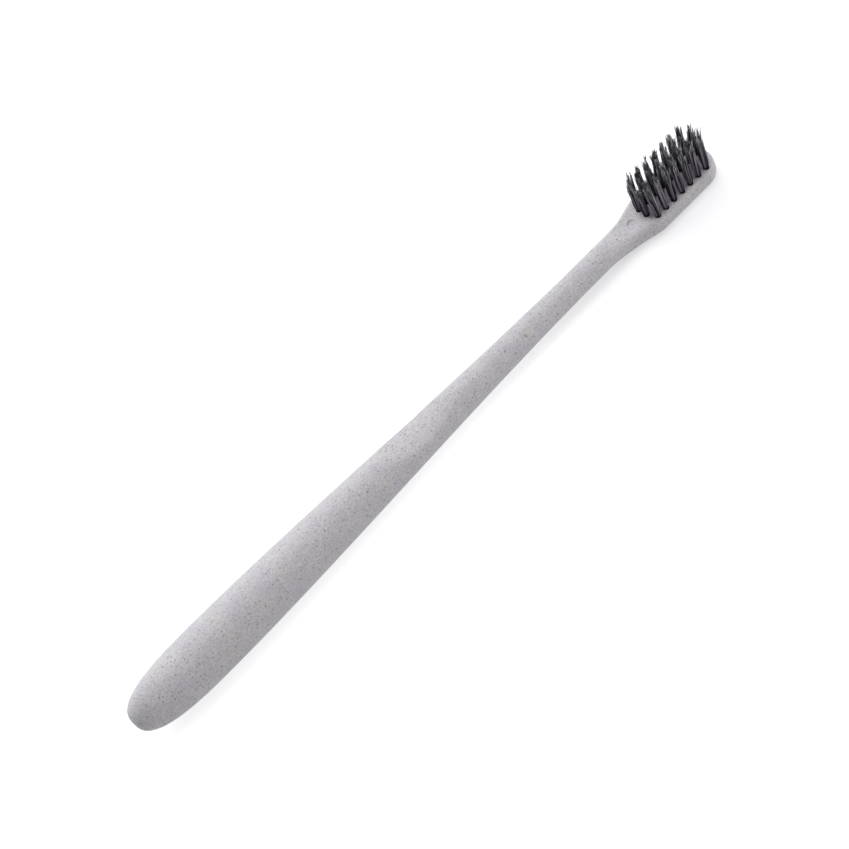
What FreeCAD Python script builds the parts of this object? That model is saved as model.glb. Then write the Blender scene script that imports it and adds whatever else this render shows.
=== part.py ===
import FreeCAD, Part
import math
import os

# Manual toothbrush: one moulded handle whose head carries thirty bristle tufts.
# Each tuft is folded round a small metal plate, the anchor, which is driven into a blind hole.
# Millimetres. The brush is drawn straight, with the handle's axis along X and the bristles along +Z, and
# is then laid on its back: z = 0 is the surface that the handle's belly and the tip of the head touch.

# Handle
overall_length = 190.0
belly_diameter = 13.8       # the thickest place of the grip
belly_place = 24.0          # from the tail end to the thickest place
neck_diameter = 6.4         # the slimmest place, where the flare starts
tail_power = 2.8            # how blunt the tail end is, 2 for an ellipse
taper_power = 0.93          # where the grip tapers fastest, under 1 for nearer the tail

# Head
head_width = 11.0
head_thickness = 4.7        # its back is flush with the underside of the neck
head_length = 20.5          # the part of full width, from the end of the flare to the tip
flare_length = 17.5         # from the neck to the full width of the head
flare_power = 2.0           # how late the neck widens into the head, over 1 for nearer the head
flatten_share = 0.6         # of the flare's length, over which the round neck turns into the flat face
face_edge_round = 1.4       # between the tuft face and the sides
back_edge_round = 1.6       # between the back and the sides

# Thumb rest, a dished oval on the bristle side
thumb_rest_place = 91.8     # from the tail end to its middle
thumb_rest_length = 21.5
thumb_rest_depth = 1.5
thumb_rest_crown = 10.0     # the radius of its floor across the handle

# Round moulding mark on the tuft face beside the neck
mark_diameter = 2.2
mark_depth = 0.15
mark_setback = 5.9          # from the start of the full width back to the middle of the mark

# Tufts
tuft_diameter = 1.55
tuft_top_diameter = 2.1     # the filaments spread towards their tips
tuft_tip_round = 0.35
bristle_length = 10.4       # the free length above the tuft face
side_margin = 0.98          # from the outer rows' holes to the side of the head
tip_margin = 1.95           # from the inner rows' last holes to the tip, along the head
tuft_pitch = 2.8            # from tuft to tuft along a row
tuft_clearance = 0.03       # round each tuft in its hole
hole_depth = 3.2
row_count = 4
outer_row_count = 7
inner_row_count = 8

# Anchors
anchor_thickness = 0.25
anchor_height = 1.4
anchor_bite = 0.2           # how far each end cuts into the wall of the hole
anchor_floor = 0.4          # the folded filaments under the anchor

# Cutting and drawing
cut_overrun = 2.0
thumb_rest_turn = 60.0      # how far its cutter swings to each side, degrees
flat_turn = 4.0             # half the angle of the arcs that face up, down and sideways on the neck, degrees
neck_round_share = 0.94     # of the neck's radius, the corner round of a flare section next to the neck
profile_steps = 9           # points along the tail and along the taper
flare_steps = 20            # sections of the flare after the neck's circle

belly_radius = belly_diameter / 2
neck_radius = neck_diameter / 2
head_half = head_width / 2
tail_x = -overall_length / 2
tip_x = overall_length / 2
full_width_x = tip_x - head_length
neck_x = full_width_x - flare_length
neck_place = neck_x - tail_x
tip_centre_x = tip_x - head_half
back_z = -neck_radius
face_z = back_z + head_thickness
hole_diameter = tuft_diameter + 2 * tuft_clearance
row_pitch = (head_width - 2 * side_margin - hole_diameter) / (row_count - 1)
last_inner_x = tip_x - tip_margin - hole_diameter / 2


def vector(x, y, z):
    return FreeCAD.Vector(x, y, z)


def smooth_step(share):
    """Rises from 0 to 1 with level ends."""
    return share * share * (3 - 2 * share)


def grip_radius(place):
    """The grip's radius at a distance from the tail end: a blunt tail, the belly, then a taper to the neck."""
    if place < belly_place:
        reach = (belly_place - place) / belly_place
        return belly_radius * (1 - reach ** tail_power) ** (1 / tail_power)
    share = min(1.0, (place - belly_place) / (neck_place - belly_place))
    return belly_radius + (neck_radius - belly_radius) * smooth_step(share ** taper_power)


def lying_placement():
    """Tips the straight brush so that its belly and the tip of its head touch the surface under it."""
    touch_place = overall_length - back_edge_round
    steps = profile_steps * profile_steps
    places = [neck_place * step / steps for step in range(steps)]
    fall = max(math.atan((grip_radius(place) + back_z) / (touch_place - place)) for place in places)
    height = (tail_x + touch_place) * math.sin(fall) - back_z * math.cos(fall)
    return FreeCAD.Placement(vector(0, 0, height), FreeCAD.Rotation(vector(0, 1, 0), math.degrees(fall)))


def smooth_curve(points, first_direction, last_direction):
    """A curve through points with a set direction at each end, run at an even speed."""
    runs = [0.0]
    for here, there in zip(points, points[1:]):
        runs.append(runs[-1] + here.distanceToPoint(there))
    inner = len(points) - 2
    directions = [first_direction] * (inner + 1) + [last_direction]
    fixed = [True] + [False] * inner + [True]
    curve = Part.BSplineCurve()
    curve.interpolate(Points=points, Parameters=runs, Tangents=directions, TangentFlags=fixed, Scale=False)
    return curve


def grip_solid():
    """The round grip from the tail end to the neck, turned about its axis."""
    turns = [math.pi / 2 * step / profile_steps for step in range(1, profile_steps)]
    tail_places = [belly_place * (1 - math.cos(turn) ** (2 / tail_power)) for turn in turns]
    taper = neck_place - belly_place
    taper_places = [belly_place + taper * step / profile_steps for step in range(profile_steps + 1)]
    points = [vector(tail_x, 0, 0)]
    points += [vector(tail_x + place, 0, grip_radius(place)) for place in tail_places + taper_places]
    outline = smooth_curve(points, vector(0, 0, 1), vector(1, 0, 0))
    end = points[-1]
    foot = vector(end.x, 0, 0)
    edges = [outline.toShape(), Part.makeLine(end, foot), Part.makeLine(foot, points[0])]
    half = Part.Face(Part.Wire(edges))
    quarters = [half.revolve(vector(0, 0, 0), vector(1, 0, 0), 90)]
    for turn in (90, 180, 270):
        quarters.append(quarters[0].rotated(vector(0, 0, 0), vector(1, 0, 0), turn))
    return quarters[0].fuse(quarters[1:])


def neck_section():
    """The circle at the end of the grip, in eight arcs that match the edges of a head section."""

    def point(turn):
        angle = math.radians(turn)
        return vector(neck_x, neck_radius * math.cos(angle), neck_radius * math.sin(angle))

    stops = []
    for quarter in (90, 0, -90, -180):
        stops += [quarter + flat_turn, quarter - flat_turn]
    stops.append(stops[0] - 360)
    arcs = [Part.Arc(point(a), point((a + b) / 2), point(b)).toShape() for a, b in zip(stops, stops[1:])]
    return Part.Wire(arcs)


def corner(x, y, z, radius, turn):
    """A quarter arc round a corner of a head section, from one turn clockwise to the next, in degrees."""
    angles = [math.radians(turn - step) for step in (0, 45, 90)]
    points = [vector(x, y + radius * math.cos(angle), z + radius * math.sin(angle)) for angle in angles]
    return Part.Arc(*points).toShape()


def head_section(x, half_width, top, back_round, face_round):
    """A rectangle across the head with rounded corners: four sides and four quarter arcs."""
    upper_y = half_width - face_round
    upper_z = top - face_round
    lower_y = half_width - back_round
    lower_z = back_z + back_round
    edges = [
        Part.makeLine(vector(x, -upper_y, top), vector(x, upper_y, top)),
        corner(x, upper_y, upper_z, face_round, 90),
        Part.makeLine(vector(x, half_width, upper_z), vector(x, half_width, lower_z)),
        corner(x, lower_y, lower_z, back_round, 0),
        Part.makeLine(vector(x, lower_y, back_z), vector(x, -lower_y, back_z)),
        corner(x, -lower_y, lower_z, back_round, -90),
        Part.makeLine(vector(x, -half_width, lower_z), vector(x, -half_width, upper_z)),
        corner(x, -upper_y, upper_z, face_round, 180),
    ]
    return Part.Wire(edges)


def flare_solid():
    """The neck opening out into the head, drawn through sections that change from round to flat."""
    neck_round = neck_radius * neck_round_share
    sections = [neck_section()]
    for step in range(1, flare_steps + 1):
        share = step / flare_steps
        widen = smooth_step(share ** flare_power)
        flatten = smooth_step(min(1.0, share / flatten_share))
        x = neck_x + flare_length * share
        half_width = neck_radius + (head_half - neck_radius) * widen
        top = neck_radius + (face_z - neck_radius) * flatten
        back_round = neck_round + (back_edge_round - neck_round) * flatten
        face_round = neck_round + (face_edge_round - neck_round) * flatten
        sections.append(head_section(x, half_width, top, back_round, face_round))
    return Part.makeLoft(sections, True, False)


def head_solid():
    """The flat head: a straight length of its section, and half a turn of the section for the tip."""
    straight_length = tip_centre_x - full_width_x
    section = head_section(full_width_x, head_half, face_z, back_edge_round, face_edge_round)
    straight = Part.Face(section).extrude(vector(straight_length, 0, 0))
    reach = head_width + cut_overrun
    half_box = Part.makeBox(cut_overrun, reach, head_thickness + 2 * cut_overrun)
    half_box.translate(vector(tip_centre_x - cut_overrun / 2, -reach, back_z - cut_overrun))
    half = Part.Face(section.translated(vector(straight_length, 0, 0))).common(half_box)
    tip = half.revolve(vector(tip_centre_x, 0, 0), vector(0, 0, 1), 180)
    return straight, tip


def thumb_rest_cut():
    """A dish that is hollow along the handle and slightly crowned across it: an arc swung about a line below."""
    ends = []
    for side in (-1, 1):
        place = thumb_rest_place + side * thumb_rest_length / 2
        ends.append(vector(tail_x + place, 0, grip_radius(place)))
    middle = (ends[0] + ends[1]) / 2
    chord = ends[1] - ends[0]
    across = vector(0, -1, 0).cross(chord).normalize()
    lowest = middle - across * thumb_rest_depth
    over = across * (belly_diameter + cut_overrun)
    arc = Part.Arc(ends[0], lowest, ends[1]).toShape()
    lid = Part.makePolygon([ends[1], ends[1] + over, ends[0] + over, ends[0]])
    face = Part.Face(Part.Wire([arc] + lid.Edges))
    pivot = lowest - across * thumb_rest_crown
    face.rotate(pivot, chord, -thumb_rest_turn)
    return face.revolve(pivot, chord, 2 * thumb_rest_turn)


def mark_cut():
    """A shallow round mark in the face, on the middle line between the neck and the tufts."""
    base = vector(full_width_x - mark_setback, 0, face_z - mark_depth)
    return Part.makeCylinder(mark_diameter / 2, mark_depth + cut_overrun, base)


def tuft_rows():
    """Each row's name, its place across the head and the places of its tufts along the head."""
    rows = []
    sides = (("left", 1), ("right", -1))
    inner_x = [last_inner_x - tuft_pitch * step for step in range(inner_row_count)]
    first_outer_x = last_inner_x - tuft_pitch * (inner_row_count - outer_row_count) / 2
    outer_x = [first_outer_x - tuft_pitch * step for step in range(outer_row_count)]
    for side, sign in sides:
        rows.append((side + "_inner", sign * row_pitch / 2, inner_x))
        rows.append((side + "_outer", sign * row_pitch * 3 / 2, outer_x))
    return rows


def hole_cut(x, y):
    """One blind hole for a tuft."""
    floor = face_z - hole_depth
    return Part.makeCylinder(hole_diameter / 2, hole_depth + cut_overrun, vector(x, y, floor))


def anchor_solid(x, y):
    """The plate that holds a tuft, longer than the hole is wide so that its ends bite into the head."""
    length = hole_diameter + 2 * anchor_bite
    floor = face_z - hole_depth + anchor_floor
    corner_point = vector(x - length / 2, y - anchor_thickness / 2, floor)
    return Part.makeBox(length, anchor_thickness, anchor_height, corner_point)


def tuft_solid(x, y):
    """A bundle of filaments: straight in its hole, spreading above the face, with a rounded top."""
    root = tuft_diameter / 2
    top = tuft_top_diameter / 2
    floor = face_z - hole_depth
    end = face_z + bristle_length
    rim = top - tuft_tip_round
    shoulder = end - tuft_tip_round
    slant = math.cos(math.pi / 4) * tuft_tip_round
    round_top = Part.Arc(vector(top, 0, shoulder), vector(rim + slant, 0, shoulder + slant), vector(rim, 0, end))
    stem = Part.makePolygon([
        vector(rim, 0, end),
        vector(0, 0, end),
        vector(0, 0, floor),
        vector(root, 0, floor),
        vector(root, 0, face_z),
        vector(top, 0, shoulder),
    ])
    outline = Part.Wire(stem.Edges + [round_top.toShape()])
    solid = Part.Face(outline).revolve(vector(0, 0, 0), vector(0, 0, 1))
    solid.translate(vector(x, y, 0))
    return solid.cut(anchor_solid(x, y))


def handle_solid(rows):
    """The one moulding: grip, flare and head, with every recess cut into it."""
    straight, tip = head_solid()
    body = grip_solid().fuse([flare_solid(), straight, tip]).removeSplitter()
    cuts = [thumb_rest_cut(), mark_cut()]
    for name, y, places in rows:
        for x in places:
            cuts.append(hole_cut(x, y))
            cuts.append(anchor_solid(x, y))
    return body.cut(cuts)


def export(shape, name):
    """Lays a piece down with the rest of the brush and writes it to its file."""
    laid = shape.copy()
    laid.Placement = lying_placement().multiply(shape.Placement)
    laid.exportStep("parts/" + name + ".step")


os.makedirs("parts", exist_ok=True)
all_rows = tuft_rows()
export(handle_solid(all_rows), "handle")
for row_name, row_y, row_places in all_rows:
    for number, tuft_x in enumerate(row_places, 1):
        export(tuft_solid(tuft_x, row_y), "tuft_" + row_name + "_" + str(number))
    anchors = [anchor_solid(anchor_x, row_y) for anchor_x in row_places]
    export(Part.makeCompound(anchors), "anchors_" + row_name)
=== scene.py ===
import bmesh
import bpy
import math
import numpy as np
from mathutils import Matrix


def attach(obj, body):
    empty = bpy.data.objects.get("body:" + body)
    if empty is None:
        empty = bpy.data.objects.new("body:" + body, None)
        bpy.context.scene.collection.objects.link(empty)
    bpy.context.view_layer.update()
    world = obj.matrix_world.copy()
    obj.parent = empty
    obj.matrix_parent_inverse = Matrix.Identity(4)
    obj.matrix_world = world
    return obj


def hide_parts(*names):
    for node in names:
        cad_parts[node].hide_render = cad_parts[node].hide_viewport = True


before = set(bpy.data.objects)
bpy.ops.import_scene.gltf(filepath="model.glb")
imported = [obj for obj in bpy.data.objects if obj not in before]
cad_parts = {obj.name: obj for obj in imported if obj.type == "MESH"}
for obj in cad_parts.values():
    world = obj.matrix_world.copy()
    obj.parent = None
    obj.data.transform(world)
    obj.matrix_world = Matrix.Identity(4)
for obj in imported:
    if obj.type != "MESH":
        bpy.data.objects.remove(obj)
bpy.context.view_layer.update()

# A manual toothbrush on a white table: speckled handle, charcoal bristles, brass anchors.
# Its sizes are in millimetres, drawn straight along X with the bristles along +Z, as the solids are.
# laid() then lays it on the table and turns it into metres.

metres_per_mm = 0.001

# Handle
overall_length = 190.0
belly_radius = 6.9
belly_place = 24.0            # from the tail end to the thickest place
neck_radius = 3.2
tail_power = 2.8
taper_power = 0.93
head_half = 5.5
head_thickness = 4.7
head_length = 20.5            # from the end of the flare to the tip
flare_length = 17.5
flare_power = 2.0
flatten_share = 0.6           # of the flare's length, over which its section turns flat
face_edge_round = 1.4
back_edge_round = 1.6

# Thumb rest
thumb_rest_place = 91.8
thumb_rest_length = 21.5
thumb_rest_depth = 1.5
thumb_rest_crown = 10.0       # the radius of its floor across the handle
thumb_rest_edge = 0.7         # over how much height its edge is rounded off
thumb_rest_reach_share = 1.5  # of its half length, past which its floor climbs no more

# Round moulding mark
mark_radius = 1.15
mark_floor_radius = 0.9       # its wall slopes in to this
mark_depth = 0.28
mark_setback = 5.9            # from the end of the flare, towards the handle

# Tuft holes
hole_radius = 0.805
hole_depth = 3.2
side_margin = 0.98            # from the outer holes to the sides of the head
tip_margin = 1.95             # from the last inner holes to the tip
tuft_pitch = 2.8
row_count = 4
outer_row_count = 7
inner_row_count = 8
cut_overrun = 2.0

# Bristles
longest_filament = 13.0       # above the face
least_length_share = 0.62     # the shortest filament of a tuft, against the longest
wisp_drop_share = 0.5         # of the difference between the two, how far a wisp falls short at most
crown_share = 0.25            # the same for a filament at the rim of its wisp and its bundle
filament_drop_share = 0.55    # the same for a single filament
wisp_place_share = 0.5        # how much a wisp's place in the bundle counts in that crown
root_radius = 0.66            # of the bundle where it leaves its hole, to the outer filaments' middles
root_depth = 1.3              # how far down the hole the filaments are drawn
root_scatter_share = 0.25     # of a filament's radius, how far roots lie off their even pattern
swell_share = 0.4             # how much wider the bundle gets above its hole
swell_height = 2.4
filament_radius = 0.085
filament_count = 80
filament_rings = 12
filament_sides = 5
filament_thin_share = 0.5     # of the filament's radius, lost towards its pointed tip
filament_taper_share = 0.55   # of the free length, where the point starts
wisp_counts = (13, 18)        # least and most in a tuft
gather_share = 0.78           # how far the filaments of a wisp draw together towards its end
lean_power = 1.3              # above 1, a filament leaves its hole straight and leans more and more
stray_power = 3               # the same for what wanders off
filament_stray = 0.22         # how far a single tip wanders off
wisp_stray = 0.6              # how far the end of a wisp wanders off
wisp_shade_share = 0.15       # how much of a filament's shade it has from its wisp
pale_power = 1.5              # above 1, fewer filaments are pale
lean_scatter = 0.09
seeds_per_row = 100           # each tuft has a chance of its own
row_leans = {                 # how far tops stand off: along the head by the handle, by the tip, and across
    "left_outer": (-0.2, 0.45, -0.85),
    "left_inner": (-0.5, 0.6, -0.6),
    "right_inner": (-0.65, 0.35, -0.1),
    "right_outer": (-0.9, 0.8, 0.45),
}
row_spreads = {               # how wide the tufts end, against their roots, least and most
    "left_outer": (1.0, 1.35),
    "left_inner": (1.05, 1.4),
    "right_inner": (1.1, 1.5),
    "right_outer": (1.3, 1.7),
}

# Mesh density
tail_rings = 40
taper_rings = 320
flare_rings = 60
straight_rings = 36
tip_rings = 24
flat_points = 15
round_points = 7
side_points = 6
hole_sides = 32
merge_distance = 0.001
sharp_angle = 40              # degrees, above which an edge of the handle is drawn sharp

# Speckled moulding. Scales are in cells to the metre. A stop is a place in a pattern and its colour or grey.
mottle_scale = 260
mottle_detail = 3
mottle_roughness = 0.5
mottle_stops = ((0.35, (0.6, 0.593, 0.639)), (0.65, (0.645, 0.632, 0.645)))
grain_scale = 2100
grain_detail = 4
grain_roughness = 0.7
grain_stops = ((0.3, (0.71, 0.7, 0.71)), (0.65, 1))
grain_dull_stops = ((0.3, 0.5), (0.7, 0.62))
grain_bump_strength = 0.06
grain_height = 0.1            # of its bump
fleck_kinds = (               # scale, radius in its cell, the share of cells left bare, and colour
    (2300, 0.27, 0.24, (0.32, 0.295, 0.315)),
    (1300, 0.21, 0.36, (0.21, 0.18, 0.195)),
    (650, 0.12, 0.6, (0.16, 0.115, 0.11)),
)
fleck_core_share = 0.5        # of its radius, inside which a fleck has its full colour
fleck_rim_share = 1.6         # of its radius, where it has faded out
fleck_full_share = 0.98       # of the cells, past which a fleck is at its darkest
moulding_specular = 0.35

# Charcoal filaments, from root to tip, of the darkest strand and of the palest: near black at the root is
# painted shade in the hole, and the lightening towards the tip is partly the nylon's own tone and partly
# painted light on the tips
dark_strand_tone_and_painted_light_stops = (
    (0.0, (0.001, 0.001, 0.002)),
    (0.1, (0.007, 0.0025, 0.015)),
    (0.6, (0.011, 0.0045, 0.023)),
    (1.0, (0.07, 0.066, 0.078)),
)
pale_strand_tone_and_painted_light_stops = (
    (0.03, (0.006, 0.004, 0.008)),
    (0.1, (0.25, 0.225, 0.265)),
    (0.6, (0.45, 0.42, 0.467)),
    (1.0, (0.64, 0.638, 0.655)),
)
strand_roughness = 0.45
strand_specular = 0.03

# Stamped brass
stain_scale = 1800
stain_detail = 2
stain_roughness = 0.5
brass_stops = ((0.3, (0.55, 0.37, 0.13)), (0.7, (0.74, 0.54, 0.24)))
polish_stops = ((0.3, 0.28), (0.7, 0.42))

# Table, in metres
table_size = 3.0
table_colour = (0.84, 0.85, 0.87)
table_white_and_head_shade_shares = (0.41, 0.65)   # by the head, lower as painted shade that deepens the shadow there, and elsewhere
head_shadow_place = (0.082, -0.01, 0)
head_shadow_reaches = (0.018, 0.085)
bare_table_reaches = (0.3, 0.55)    # past the shadow the table turns to full white
bare_table_shares = (0, 0.35)

# Light, in metres and watts
world_colour = (1, 0.985, 0.965)
world_strength = 0.21
lamps = {                     # place, size, power and colour
    "key_lamp": ((0.08, 0.54, 0.77), 0.9, 4.1, (0.965, 0.98, 1.0)),
    "rim_lamp": ((-0.12, 0.72, 0.32), 0.5, 2.9, (1.0, 0.98, 0.95)),
    "top_lamp": ((0.05, 0.05, 0.95), 0.6, 2.3, (0.98, 0.98, 1.0)),
    "fill_lamp": ((0.65, -0.5, 0.25), 0.4, 2.6, (1.0, 0.965, 0.93)),
}

# Camera, found from the outline in the photograph
camera_place = (-84.3236, -279.1896, 420.8584)
camera_aim = (0.949, 5.629, 0)
camera_roll = -31.885         # degrees
camera_near = 20.0            # nothing closer is drawn
sensor_width = 36.0
photo_width_pixels = 849
focal_length_pixels = 2200

# Sockets of the colours on a mix node
mix_first_socket = 6
mix_second_socket = 7
mix_result_socket = 2

# Worked out from the sizes above
neck_place = overall_length - head_length - flare_length
tail_x = -overall_length / 2
tip_x = overall_length / 2
full_width_x = tip_x - head_length
neck_x = full_width_x - flare_length
tip_centre_x = tip_x - head_half
back_z = -neck_radius
face_z = back_z + head_thickness
row_pitch = 2 * (head_half - side_margin - hole_radius) / (row_count - 1)
last_inner_x = tip_x - tip_margin - hole_radius


def smooth_step(share):
    """Rises from 0 to 1 with level ends: three times the square less twice the cube."""
    return share * share * (3 - 2 * share)


def grip_radius(place):
    """The grip's radius along the handle: a quarter of a superellipse for the blunt tail, then a smooth
    step from the belly down to the neck."""
    reach = np.clip((belly_place - place) / belly_place, 0, 1)
    tail = belly_radius * (1 - reach ** tail_power) ** (1 / tail_power)
    share = np.clip((place - belly_place) / (neck_place - belly_place), 0, 1)
    taper = belly_radius + (neck_radius - belly_radius) * smooth_step(share ** taper_power)
    return np.where(place < belly_place, tail, taper)


def lying_tilt():
    """The turn and the lift that lay the brush on its belly and on the tip of its head: the turn is that of
    the steepest line from the tip's touching place to the underside of the grip."""
    touch_place = overall_length - back_edge_round
    places = np.linspace(0, neck_place, taper_rings)
    fall = np.max(np.arctan((grip_radius(places) + back_z) / (touch_place - places)))
    lift = (tail_x + touch_place) * math.sin(fall) - back_z * math.cos(fall)
    return fall, lift


fall_angle, lift_height = lying_tilt()


def laid(points):
    """Turns points about Y by the fall, lifts them onto the table and gives them in metres."""
    x = points[..., 0] * math.cos(fall_angle) + points[..., 2] * math.sin(fall_angle)
    z = points[..., 2] * math.cos(fall_angle) - points[..., 0] * math.sin(fall_angle) + lift_height
    return metres_per_mm * np.stack([x, points[..., 1], z], -1)


def new_piece(name, mesh):
    """An object for a mesh whose points already lie where the piece goes."""
    piece = bpy.data.objects.new(name, mesh)
    bpy.context.scene.collection.objects.link(piece)
    return piece


def half_section(half_width, top, face_round, back_round):
    """Half a head section, from the middle of its face round the side to the middle of its back:
    a flat, a quarter round, the side, a quarter round and a flat."""
    run = np.linspace(0, 1, flat_points, endpoint=False)
    turn = np.linspace(0, math.pi / 2, round_points, endpoint=False)
    drop = np.linspace(0, 1, side_points, endpoint=False)
    last_run = np.linspace(1, 0, flat_points + 1)
    upper_y = half_width - face_round
    upper_z = top - face_round + 0 * half_width
    lower_y = half_width - back_round
    lower_z = back_z + back_round + 0 * half_width
    y = [upper_y * run, upper_y + face_round * np.sin(turn), half_width + 0 * drop]
    y += [lower_y + back_round * np.cos(turn), lower_y * last_run]
    z = [top + 0 * half_width * run, upper_z + face_round * np.cos(turn)]
    z += [upper_z + (lower_z - upper_z) * drop]
    z += [lower_z - back_round * np.sin(turn), lower_z - back_round + 0 * last_run]
    return np.concatenate(y, -1), np.concatenate(z, -1)


def dished(x, y, z):
    """Lowers the grip's skin into the thumb rest: the lower of the round grip and an arc along it that is
    swung about a line below. Where the two are closer than the edge's height, a soft minimum takes off up
    to a quarter of that height, by the square of how close they are."""
    half = thumb_rest_length / 2
    ends = np.array([thumb_rest_place - half, thumb_rest_place + half])
    chord = np.interp(x, tail_x + ends, grip_radius(ends))
    arc_radius = (half ** 2 + thumb_rest_depth ** 2) / (2 * thumb_rest_depth)
    away = np.clip(np.abs(x - tail_x - thumb_rest_place), 0, thumb_rest_reach_share * half)
    rise = arc_radius - np.sqrt(arc_radius ** 2 - away ** 2)
    swing = np.sqrt((thumb_rest_crown + rise) ** 2 - y ** 2)
    floor = chord - thumb_rest_depth - thumb_rest_crown + swing
    near = np.clip(thumb_rest_edge - np.abs(z - floor), 0, None) / thumb_rest_edge
    return np.minimum(z, floor) - near ** 2 * thumb_rest_edge / 4


def grip_sections(turn):
    """Circles of the grip's radius along the handle, closest at the tail, with the thumb rest let in."""
    swing = np.linspace(0, math.pi / 2, tail_rings, endpoint=False)
    tail_places = belly_place * (1 - np.cos(swing) ** (2 / tail_power))
    taper_places = np.linspace(belly_place, neck_place, taper_rings, endpoint=False)
    places = np.concatenate([tail_places, taper_places])[:, None]
    x = tail_x + places + 0 * turn
    y = grip_radius(places) * np.sin(turn)
    z = dished(x, y, grip_radius(places) * np.cos(turn))
    return np.stack([x, y, z], -1)


def flare_sections(turn):
    """Sections that widen by a smooth step and go over from an ellipse to the head's rounded rectangle."""
    share = np.linspace(0, 1, flare_rings, endpoint=False)[:, None]
    flatten = smooth_step(np.clip(share / flatten_share, 0, 1))
    half_width = neck_radius + (head_half - neck_radius) * smooth_step(share ** flare_power)
    top = neck_radius + (face_z - neck_radius) * flatten
    flat_y, flat_z = half_section(half_width, top, face_edge_round, back_edge_round)
    round_y = half_width * np.sin(turn)
    round_z = (top + back_z) / 2 + (top - back_z) / 2 * np.cos(turn)
    x = neck_x + flare_length * share + 0 * turn
    y = round_y + (flat_y - round_y) * flatten
    z = round_z + (flat_z - round_z) * flatten
    return np.stack([x, y, z], -1)


def head_sections():
    """The head's section carried straight along it, then swung about an upright axis to round the tip."""
    y, z = half_section(np.array([head_half]), face_z, face_edge_round, back_edge_round)
    x = np.linspace(full_width_x, tip_centre_x, straight_rings, endpoint=False)[:, None]
    straight = np.stack(np.broadcast_arrays(x, y, z), -1)
    swing = np.linspace(0, math.pi / 2, tip_rings)[:, None]
    tip = np.stack(np.broadcast_arrays(tip_centre_x + y * np.sin(swing), y * np.cos(swing), z), -1)
    return np.concatenate([straight, tip])


def handle_skin():
    """The whole handle as one grid of rings, each a half section and its mirror image."""
    count = 2 * flat_points + 2 * round_points + side_points
    turn = np.linspace(0, math.pi, count + 1)[None, :]
    left = np.concatenate([grip_sections(turn), flare_sections(turn), head_sections()])
    right = left[:, -2:0:-1] * np.array([1, -1, 1])
    points = np.concatenate([left, right], 1)
    rows, columns = points.shape[:2]
    index = np.arange(rows * columns).reshape(rows, columns)
    index = np.hstack([index, index[:, :1]])
    faces = np.stack([index[:-1, :-1], index[1:, :-1], index[1:, 1:], index[:-1, 1:]], -1).reshape(-1, 4)
    mesh = bpy.data.meshes.new("handle_skin")
    mesh.from_pydata(laid(points).reshape(-1, 3), [], faces)
    seal(mesh)
    return mesh


def seal(mesh):
    """Merges the points that meet at the tail, the tip and the middle lines, and turns faces outwards."""
    distance = merge_distance * metres_per_mm
    work = bmesh.new()
    work.from_mesh(mesh)
    bmesh.ops.remove_doubles(work, verts=work.verts, dist=distance)
    bmesh.ops.dissolve_degenerate(work, edges=work.edges, dist=distance)
    bmesh.ops.recalc_face_normals(work, faces=work.faces)
    work.to_mesh(mesh)
    work.free()


def tubes(name, centres, radii, sides):
    """Closed tubes, one for each line of centres: a level ring round every centre, a point at each end."""
    count, rings = radii.shape
    turn = np.linspace(0, 2 * math.pi, sides, endpoint=False)
    ring = np.stack([np.cos(turn), np.sin(turn), 0 * turn], -1)
    skin = centres[:, :, None, :] + radii[:, :, None, None] * ring
    points = np.concatenate([skin.reshape(count, -1, 3), centres[:, :1], centres[:, -1:]], 1)
    size = rings * sides
    first = (size + 2) * np.arange(count)[:, None, None]
    index = first + np.arange(size).reshape(rings, sides)
    index = np.concatenate([index, index[:, :, :1]], 2)
    walls = np.stack([index[:, :-1, :-1], index[:, :-1, 1:], index[:, 1:, 1:], index[:, 1:, :-1]], -1)
    feet = np.stack(np.broadcast_arrays(first[:, :, 0] + size, index[:, 0, 1:], index[:, 0, :-1]), -1)
    ends = np.stack(np.broadcast_arrays(first[:, :, 0] + size + 1, index[:, -1, :-1], index[:, -1, 1:]), -1)
    faces = walls.reshape(-1, 4).tolist() + feet.reshape(-1, 3).tolist() + ends.reshape(-1, 3).tolist()
    mesh = bpy.data.meshes.new(name)
    mesh.from_pydata(laid(points).reshape(-1, 3), [], faces)
    return mesh


def tuft_rows():
    """Each row's name, its place across the head and its tufts' places along the head, tip end first."""
    inner_x = last_inner_x - tuft_pitch * np.arange(inner_row_count)
    first_outer_x = last_inner_x - tuft_pitch * (inner_row_count - outer_row_count) / 2
    outer_x = first_outer_x - tuft_pitch * np.arange(outer_row_count)
    rows = []
    for side, sign in (("left", 1), ("right", -1)):
        rows.append((side + "_inner", sign * row_pitch / 2, inner_x))
        rows.append((side + "_outer", sign * row_pitch * 3 / 2, outer_x))
    return rows


def recess_cutters(rows):
    """An upright cylinder for each tuft hole, and for the round mark one whose lower end is a cone."""
    places = [(x, y, hole_radius, hole_radius, hole_depth) for name, y, row in rows for x in row]
    places.append((full_width_x - mark_setback, 0, mark_radius, mark_floor_radius, mark_depth))
    x, y, radius, floor_radius, depth = np.array(places).T
    levels = np.stack([face_z - depth, face_z + 0 * depth, face_z + cut_overrun + 0 * depth], 1)
    centres = np.stack([x[:, None] + 0 * levels, y[:, None] + 0 * levels, levels], -1)
    return tubes("recess_cutters", centres, np.stack([floor_radius, radius, radius], 1), hole_sides)


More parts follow.
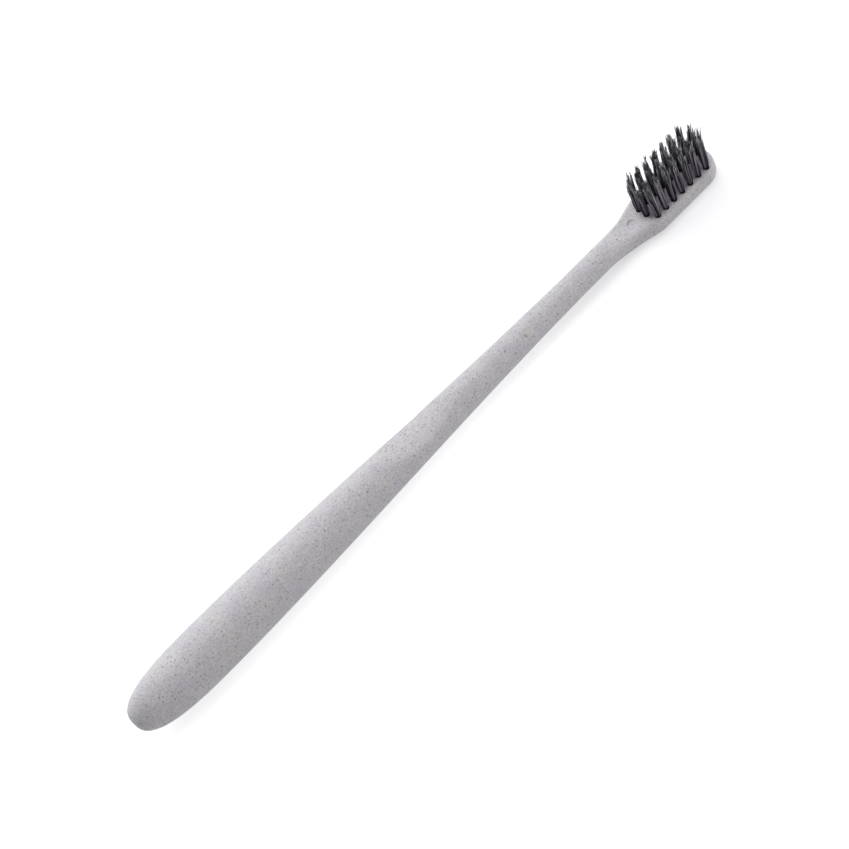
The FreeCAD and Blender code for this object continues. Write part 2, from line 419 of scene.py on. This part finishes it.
def handle_piece(rows):
    """The handle's skin with the tuft holes and the round mark cut out of it."""
    piece = new_piece("handle_moulding", handle_skin())
    cutter = new_piece("recess_cutters", recess_cutters(rows))
    cut = piece.modifiers.new("recesses", "BOOLEAN")
    cut.operation = "DIFFERENCE"
    cut.solver = "EXACT"
    cut.object = cutter
    bpy.context.view_layer.update()
    seen = piece.evaluated_get(bpy.context.evaluated_depsgraph_get())
    mesh = bpy.data.meshes.new_from_object(seen)
    piece.modifiers.clear()
    piece.data = mesh
    bpy.data.objects.remove(cutter)
    mesh.shade_smooth()
    mesh.set_sharp_from_angle(angle=math.radians(sharp_angle))
    return piece


def sunflower(count, chance):
    """Places that fill the bundle's circle evenly: a spiral in which each next one turns on by the golden
    angle, at a distance that grows with the square root of its number."""
    order = np.arange(count) + 0.5
    reach = root_radius * np.sqrt(order / count)
    angle = math.pi * (3 - math.sqrt(5)) * order + chance.uniform(0, 2 * math.pi)
    return np.stack([reach * np.cos(angle), reach * np.sin(angle)], -1)


def wisps_of(roots, chance):
    """For each filament, the number and the middle of the wisp that it belongs to: the nearest of a few
    that are spread over the bundle."""
    places = sunflower(chance.integers(wisp_counts[0], wisp_counts[1] + 1), chance)
    away = np.linalg.norm(roots[:, None, :] - places[None, :, :], axis=-1)
    nearest = np.argmin(away, 1)
    return nearest, places[nearest]


def filament_lengths(roots, wisps, centres, chance):
    """The longest length less three drops: one for the whole wisp, one that grows from the middle of the
    wisp and of the bundle outwards, and one for the single filament, which is seldom small."""
    wisp_places = wisp_place_share * np.linalg.norm(centres, axis=-1)
    off_centre = (np.linalg.norm(roots - centres, axis=-1) + wisp_places) / root_radius
    shorten = wisp_drop_share * chance.uniform(0, 1, filament_count)[wisps] + crown_share * off_centre
    shorten += filament_drop_share * np.sqrt(chance.uniform(0, 1, filament_count))
    return longest_filament * (1 - (1 - least_length_share) * np.clip(shorten, 0, 1))


def bristle_tuft(name, x, y, lean, spread, chance):
    """A bundle of filaments. Each leaves its hole upright and swells with the bundle. By powers of its
    height it goes over to its place in its wisp, leans with the tuft and wanders off. It thins to a point."""
    scatter = root_scatter_share * filament_radius
    roots = sunflower(filament_count, chance) + chance.normal(0, scatter, (filament_count, 2))
    wisps, centres = wisps_of(roots, chance)
    length = filament_lengths(roots, wisps, centres, chance)
    stray = chance.normal(0, filament_stray, (filament_count, 2))
    stray += chance.normal(0, wisp_stray, (filament_count, 2))[wisps]
    height = -root_depth + (length[:, None] + root_depth) * np.linspace(0, 1, filament_rings)
    rise = np.clip(height / longest_filament, 0, 1)[:, :, None]
    swell = swell_share * smooth_step(np.clip(height / swell_height, 0, 1))
    stem = roots[:, None, :] * (1 + swell[:, :, None])
    wisp = (centres * spread + (roots - centres) * spread * (1 - gather_share))[:, None, :]
    across = stem + (wisp - stem) * rise ** lean_power + np.array(lean) * rise ** lean_power
    across += stray[:, None, :] * rise ** stray_power
    path = np.concatenate([across + np.array([x, y]), face_z + height[:, :, None]], -1)
    end_share = np.clip(height / length[:, None], 0, 1)
    point = np.clip((end_share - filament_taper_share) / (1 - filament_taper_share), 0, 1)
    radii = filament_radius * (1 - filament_thin_share * smooth_step(point))
    mesh = tubes(name, path, radii, filament_sides)
    mesh.shade_smooth()
    give_strand_values(mesh, end_share, strand_shades(wisps, chance))
    return new_piece(name, mesh)


def strand_shades(wisps, chance):
    """Each filament's shade from 0, dark, to 1, pale: partly its wisp's and mostly its own, driven towards
    both ends by two smooth steps."""
    wisp_shade = chance.uniform(0, 1, filament_count)[wisps]
    shade = wisp_shade_share * wisp_shade + (1 - wisp_shade_share) * chance.uniform(0, 1, filament_count)
    return smooth_step(smooth_step(shade ** pale_power))


def give_strand_values(mesh, end_share, shade):
    """Two values on each point: how far along its filament it is, and the filament's shade."""
    ring_share = np.repeat(end_share, filament_sides, axis=1)
    along = np.concatenate([ring_share, end_share[:, :1], end_share[:, -1:]], 1)
    shades = np.repeat(shade[:, None], along.shape[1], axis=1)
    for label, values in (("along", along), ("shade", shades)):
        attribute = mesh.attributes.new(label, "FLOAT", "POINT")
        attribute.data.foreach_set("value", values.astype(np.float32).ravel())


def tuft_lean(row_name, x, chance):
    """How far a tuft's top stands off its root: fanned along the head, and its row drawn across it."""
    first_x = last_inner_x - tuft_pitch * (inner_row_count - 1)
    share = (x - first_x) / (last_inner_x - first_x)
    handle_end, tip_end, across = row_leans[row_name]
    lean = np.array([handle_end + (tip_end - handle_end) * share, across])
    return lean + chance.normal(0, lean_scatter, 2)


def new_material(name):
    """A material, the tree of its nodes and its shader."""
    material = bpy.data.materials.new(name)
    material.use_nodes = True
    tree = material.node_tree
    return material, tree, tree.nodes["Principled BSDF"]


def object_place(tree):
    """The place of a point on its own piece."""
    return tree.nodes.new("ShaderNodeTexCoord").outputs["Object"]


def cloud_pattern(tree, place, scale, detail, roughness):
    """A cloudy pattern of values about a half, the finer the larger its scale."""
    node = tree.nodes.new("ShaderNodeTexNoise")
    node.inputs["Scale"].default_value = scale
    node.inputs["Detail"].default_value = detail
    node.inputs["Roughness"].default_value = roughness
    tree.links.new(place, node.inputs["Vector"])
    return node.outputs["Fac"]


def ramp(tree, pattern, stops):
    """Colours for a pattern's values, with straight changes from each stop to the next."""
    node = tree.nodes.new("ShaderNodeValToRGB")
    elements = node.color_ramp.elements
    while len(elements) < len(stops):
        elements.new(1)
    for element, (place, colour) in zip(elements, stops):
        element.position = place
        element.color = (*np.broadcast_to(colour, 3), 1)
    tree.links.new(pattern, node.inputs["Fac"])
    return node.outputs["Color"]


def combined(tree, operation, first, second):
    """Two values added, multiplied or compared."""
    node = tree.nodes.new("ShaderNodeMath")
    node.operation = operation
    tree.links.new(first, node.inputs[0])
    tree.links.new(second, node.inputs[1])
    return node.outputs["Value"]


def colour_mix(tree, way):
    """The sockets of a mix of two colours: its factor, the first colour, the second and the result."""
    node = tree.nodes.new("ShaderNodeMix")
    node.data_type = "RGBA"
    node.blend_type = way
    first = node.inputs[mix_first_socket]
    second = node.inputs[mix_second_socket]
    return node.inputs["Factor"], first, second, node.outputs[mix_result_socket]


def speckled_moulding():
    """Pale grey plastic filled with straw: a soft mottle times a fine grain, then three kinds of flecks
    laid over it. The grain also gives a faint bump and an uneven dullness."""
    material, tree, shader = new_material("speckled_moulding")
    place = object_place(tree)
    mottle = cloud_pattern(tree, place, mottle_scale, mottle_detail, mottle_roughness)
    grain = cloud_pattern(tree, place, grain_scale, grain_detail, grain_roughness)

    factor, first, second, colour = colour_mix(tree, "MULTIPLY")
    factor.default_value = 1
    tree.links.new(ramp(tree, mottle, mottle_stops), first)
    tree.links.new(ramp(tree, grain, grain_stops), second)
    for kind in fleck_kinds:
        colour = flecked(tree, place, colour, *kind)
    tree.links.new(colour, shader.inputs["Base Color"])

    bump = tree.nodes.new("ShaderNodeBump")
    bump.inputs["Strength"].default_value = grain_bump_strength
    bump.inputs["Distance"].default_value = grain_height * metres_per_mm
    tree.links.new(grain, bump.inputs["Height"])
    tree.links.new(bump.outputs["Normal"], shader.inputs["Normal"])
    tree.links.new(ramp(tree, grain, grain_dull_stops), shader.inputs["Roughness"])
    shader.inputs["Specular IOR Level"].default_value = moulding_specular
    return material


def flecked(tree, place, colour, scale, radius, bare_share, fleck_colour):
    """Lays round flecks over a colour: a soft dot in each cell of a scattered pattern, times a strength
    that is drawn for the cell and is nothing in the bare ones."""
    cells = tree.nodes.new("ShaderNodeTexVoronoi")
    cells.inputs["Scale"].default_value = scale
    tree.links.new(place, cells.inputs["Vector"])
    drawn = tree.nodes.new("ShaderNodeSeparateColor")
    tree.links.new(cells.outputs["Color"], drawn.inputs["Color"])
    dot_stops = ((fleck_core_share * radius, 1), (fleck_rim_share * radius, 0))
    dot = ramp(tree, cells.outputs["Distance"], dot_stops)
    strength = ramp(tree, drawn.outputs["Red"], ((bare_share, 0), (fleck_full_share, 1)))
    factor, first, second, result = colour_mix(tree, "MIX")
    tree.links.new(combined(tree, "MULTIPLY", dot, strength), factor)
    tree.links.new(colour, first)
    second.default_value = (*fleck_colour, 1)
    return result


def charcoal_filaments():
    """Charcoal filled nylon, each strand by its own shade between a dark and a pale one. Near black at the
    root is painted shade in the hole; greyer towards the tip is partly the nylon's own tone and partly
    painted light on the tips."""
    material, tree, shader = new_material("charcoal_filaments")
    along = strand_value(tree, "along")
    factor, first, second, result = colour_mix(tree, "MIX")
    tree.links.new(strand_value(tree, "shade"), factor)
    # the ramps along the strand paint shade at the root and light towards the tip
    tree.links.new(ramp(tree, along, dark_strand_tone_and_painted_light_stops), first)
    tree.links.new(ramp(tree, along, pale_strand_tone_and_painted_light_stops), second)
    tree.links.new(result, shader.inputs["Base Color"])
    shader.inputs["Roughness"].default_value = strand_roughness
    shader.inputs["Specular IOR Level"].default_value = strand_specular
    return material


def strand_value(tree, label):
    """A value that give_strand_values put on the points."""
    node = tree.nodes.new("ShaderNodeAttribute")
    node.attribute_name = label
    return node.outputs["Fac"]


def stamped_brass():
    """Brass plate, a little uneven in colour and polish."""
    material, tree, shader = new_material("stamped_brass")
    stain = cloud_pattern(tree, object_place(tree), stain_scale, stain_detail, stain_roughness)
    tree.links.new(ramp(tree, stain, brass_stops), shader.inputs["Base Color"])
    tree.links.new(ramp(tree, stain, polish_stops), shader.inputs["Roughness"])
    shader.inputs["Metallic"].default_value = 1
    return material


def white_where_seen(tree):
    """1 for a ray from the camera, a reflection or a transparent surface, and 0 for light on the object."""
    path = tree.nodes.new("ShaderNodeLightPath")
    most = path.outputs["Is Camera Ray"]
    for name in ("Is Glossy Ray", "Is Transmission Ray"):
        most = combined(tree, "MAXIMUM", most, path.outputs[name])
    return most


def white_by_reach(tree, reach, reaches, shares):
    """A share that goes smoothly from one value to another between two distances."""
    change = tree.nodes.new("ShaderNodeMapRange")
    change.interpolation_type = "SMOOTHSTEP"
    tree.links.new(reach, change.inputs["Value"])
    change.inputs["From Min"].default_value = reaches[0]
    change.inputs["From Max"].default_value = reaches[1]
    change.inputs["To Min"].default_value = shares[0]
    change.inputs["To Max"].default_value = shares[1]
    return change.outputs["Result"]


def table_white(tree):
    """How white the table is to the eye by itself: less by the head, a painted shade that deepens the shadow
    there, and full far off."""
    reach = tree.nodes.new("ShaderNodeVectorMath")
    reach.operation = "DISTANCE"
    tree.links.new(object_place(tree), reach.inputs[0])
    reach.inputs[1].default_value = head_shadow_place
    # less white by the head: painted shade that deepens the shadow there
    white_with_head_painted_shade = white_by_reach(tree, reach.outputs["Value"], head_shadow_reaches, table_white_and_head_shade_shares)
    far_off = white_by_reach(tree, reach.outputs["Value"], bare_table_reaches, bare_table_shares)
    return combined(tree, "MULTIPLY", white_where_seen(tree), combined(tree, "ADD", white_with_head_painted_shade, far_off))


def white_table():
    """A pale floor that keeps the shadow, with white of its own to the eye to match the backdrop."""
    half = table_size / 2
    corners = [(-half, -half, 0), (half, -half, 0), (half, half, 0), (-half, half, 0)]
    mesh = bpy.data.meshes.new("table_top")
    mesh.from_pydata(corners, [], [(0, 1, 2, 3)])
    table = new_piece("table_top", mesh)
    material, tree, shader = new_material("white_table")
    tree.nodes.remove(shader)
    matte = tree.nodes.new("ShaderNodeBsdfDiffuse")
    matte.inputs["Color"].default_value = (*table_colour, 1)
    glow = tree.nodes.new("ShaderNodeEmission")
    tree.links.new(table_white(tree), glow.inputs["Strength"])
    both = tree.nodes.new("ShaderNodeAddShader")
    tree.links.new(matte.outputs["BSDF"], both.inputs[0])
    tree.links.new(glow.outputs["Emission"], both.inputs[1])
    tree.links.new(both.outputs["Shader"], tree.nodes["Material Output"].inputs["Surface"])
    mesh.materials.append(material)


def studio_world():
    """Soft light from all round, and white where it is seen."""
    world = bpy.data.worlds.new("studio")
    world.use_nodes = True
    tree = world.node_tree
    light = tree.nodes["Background"]
    light.inputs["Color"].default_value = (*world_colour, 1)
    light.inputs["Strength"].default_value = world_strength
    seen = tree.nodes.new("ShaderNodeBackground")
    seen.inputs["Color"].default_value = (1, 1, 1, 1)
    mix = tree.nodes.new("ShaderNodeMixShader")
    tree.links.new(white_where_seen(tree), mix.inputs["Fac"])
    tree.links.new(light.outputs["Background"], mix.inputs[1])
    tree.links.new(seen.outputs["Background"], mix.inputs[2])
    tree.links.new(mix.outputs["Shader"], tree.nodes["World Output"].inputs["Surface"])
    bpy.context.scene.world = world


def facing(back, roll):
    """The turn of a lamp or a camera with its back towards a direction: its right hand is level and square
    to that direction, then rolled about it, and its top is square to both."""
    back = np.array(back) / np.linalg.norm(back)
    level = np.cross((0, 0, 1), back)
    level = level / np.linalg.norm(level)
    right = level * math.cos(roll) + np.cross(back, level) * math.sin(roll)
    return Matrix(np.stack([right, np.cross(back, right), back], -1)).to_4x4()


def soft_lamp(name, place, size, power, colour):
    """A square lamp that faces the middle of the brush."""
    data = bpy.data.lights.new(name, "AREA")
    data.size = size
    data.energy = power
    data.color = colour
    lamp = bpy.data.objects.new(name, data)
    bpy.context.scene.collection.objects.link(lamp)
    lamp.matrix_world = Matrix.Translation(place) @ facing(place, 0)


def photo_camera():
    """A long lens from the photograph's side, aimed at a place on the table beside the brush and rolled."""
    place = metres_per_mm * np.array(camera_place)
    aim = metres_per_mm * np.array(camera_aim)
    data = bpy.data.cameras.new("photo_camera")
    data.sensor_width = sensor_width
    data.lens = sensor_width * focal_length_pixels / photo_width_pixels
    data.clip_start = camera_near * metres_per_mm
    camera = bpy.data.objects.new("photo_camera", data)
    bpy.context.scene.collection.objects.link(camera)
    camera.matrix_world = Matrix.Translation(place) @ facing(place - aim, math.radians(camera_roll))
    bpy.context.scene.camera = camera


def dress_brush():
    """Replaces the handle and the tufts by finished pieces, and gives the anchors their brass."""
    rows = tuft_rows()
    handle = handle_piece(rows)
    handle.data.materials.append(speckled_moulding())
    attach(handle, "root")
    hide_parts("handle")
    filaments = charcoal_filaments()
    brass = stamped_brass()
    for row_number, (row_name, y, places) in enumerate(rows):
        for number, x in enumerate(places, 1):
            chance = np.random.default_rng(seeds_per_row * row_number + number)
            name = row_name + "_" + str(number)
            lean = tuft_lean(row_name, x, chance)
            spread = chance.uniform(*row_spreads[row_name])
            tuft = bristle_tuft("bristles_" + name, x, y, lean, spread, chance)
            tuft.data.materials.append(filaments)
            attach(tuft, "root")
            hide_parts("tuft_" + name)
        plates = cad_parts["anchors_" + row_name].data
        plates.materials.clear()
        plates.materials.append(brass)


dress_brush()
white_table()
studio_world()
for lamp_name, lamp_values in lamps.items():
    soft_lamp(lamp_name, *lamp_values)
photo_camera()
bpy.context.scene.view_settings.view_transform = "Standard"
